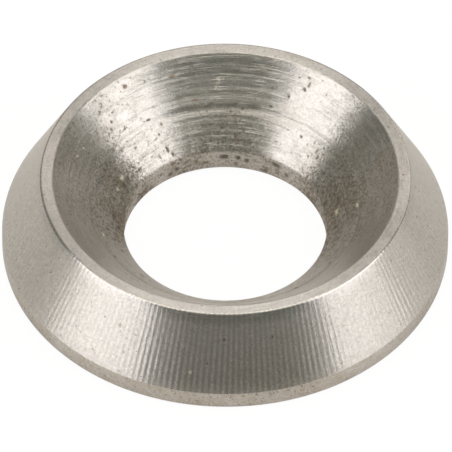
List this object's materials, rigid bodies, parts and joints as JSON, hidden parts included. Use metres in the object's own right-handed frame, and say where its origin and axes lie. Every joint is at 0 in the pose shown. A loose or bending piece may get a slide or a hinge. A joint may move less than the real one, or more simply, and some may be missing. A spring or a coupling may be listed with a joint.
{
  "type": "finishing cup washer",
  "caption": "Solid turned cup washer: a conical ring with a flat base and rim, and a countersink that seats a flat-head screw flush with its rim.",
  "frame": {"origin": "centre of the bore, in the plane of the base that rests on the work", "axes": "+Z along the bore, from the base out of the countersink. The washer is the same all round, so +X is any radius."},
  "size_m": [0.0144, 0.0144, 0.0031],
  "materials": {
    "steel": "bare turned stainless steel, with fine turning marks, light chatter ribs and a few brown specks"
  },
  "bodies": {
    "root": {"cup_washer": "steel"}
  },
  "joints": []
}
